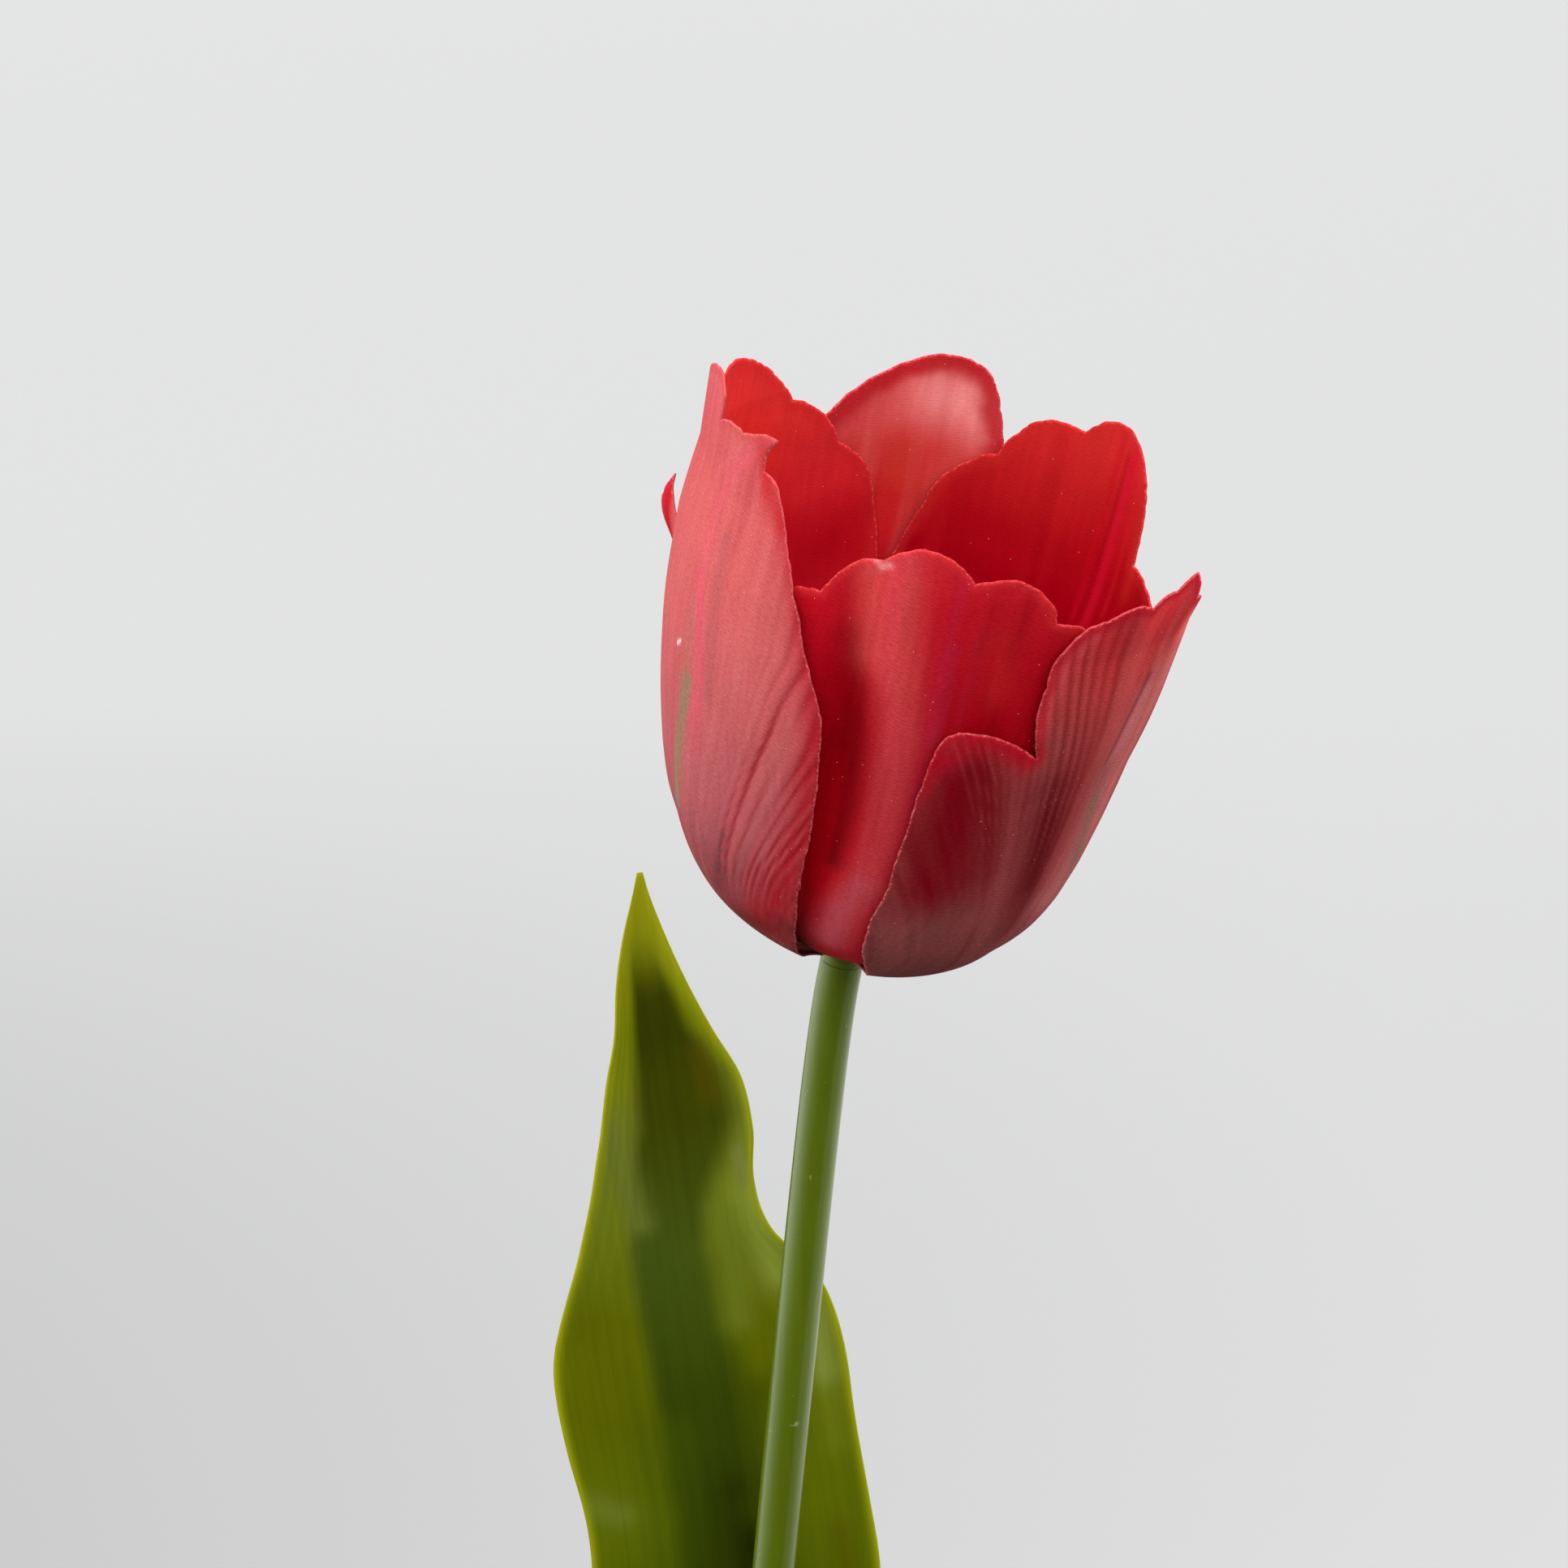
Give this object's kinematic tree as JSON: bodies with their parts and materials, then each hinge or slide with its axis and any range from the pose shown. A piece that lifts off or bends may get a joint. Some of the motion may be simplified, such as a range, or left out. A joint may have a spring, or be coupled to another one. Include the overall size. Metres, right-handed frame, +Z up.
{
  "type": "artificial tulip",
  "caption": "Artificial tulip: scalloped cloth petals in two whorls on a moulded core, a bendable wire-cored stem and a long leaf that turns on its collar",
  "frame": {"origin": "centre of the flat lower end of the stem", "axes": "+Z up along the stem, +X to the side the flower leans to, -Y the side it nods to"},
  "size_m": [0.079, 0.0923, 0.4752],
  "materials": {
    "outer_petal_cloth": "woven cloth with a fine twill, salmon red outside, pressed ribs, cut edges",
    "inner_petal_cloth": "woven cloth with a fine twill, deep red, cut edges",
    "stem_plastic": "soft moulded plastic, satin",
    "leaf_plastic": "soft moulded plastic, satin, faint parallel veins",
    "core_plastic": "moulded plastic, matt",
    "pistil_plastic": "moulded plastic, matt",
    "stamen_plastic": "moulded plastic, powdery matt",
    "steel_wire": "drawn wire"
  },
  "bodies": {
    "stem": {"stem_sleeve": "stem_plastic", "stem_neck": "stem_plastic", "stem_wire": "steel_wire"},
    "head": {"petal_outer_front_left": "outer_petal_cloth", "petal_outer_front_right": "outer_petal_cloth", "petal_outer_back": "outer_petal_cloth", "petal_inner_front": "inner_petal_cloth", "petal_inner_back_right": "inner_petal_cloth", "petal_inner_back_left": "inner_petal_cloth", "receptacle": "core_plastic", "pistil": "pistil_plastic", "stamen_1": "stamen_plastic", "stamen_2": "stamen_plastic", "stamen_3": "stamen_plastic", "stamen_4": "stamen_plastic", "stamen_5": "stamen_plastic", "stamen_6": "stamen_plastic"},
    "leaf_base": {"leaf_collar": "leaf_plastic"},
    "leaf": {"leaf_blade": "leaf_plastic"}
  },
  "joints": [
    {"name": "neck_bend", "type": "hinge", "parent": "stem", "child": "head", "pos_m": [0.02104, -0.00643, 0.3829], "axis": [0.801, 0.5986, 0], "range_deg": [-25, 45], "deforming": ["stem_neck", "stem_wire"]},
    {"name": "leaf_swivel", "type": "hinge", "parent": "stem", "child": "leaf_base", "pos_m": [0.005, -0.00015, 0.18], "axis": [0.0527, -0.0041, 0.9986], "range_deg": [-80, 80]},
    {"name": "leaf_spread", "type": "hinge", "parent": "leaf_base", "child": "leaf", "pos_m": [0.0054, 0.00412, 0.18761], "axis": [-0.9986, -0.0001, 0.0527], "range_deg": [0, 35]}
  ]
}
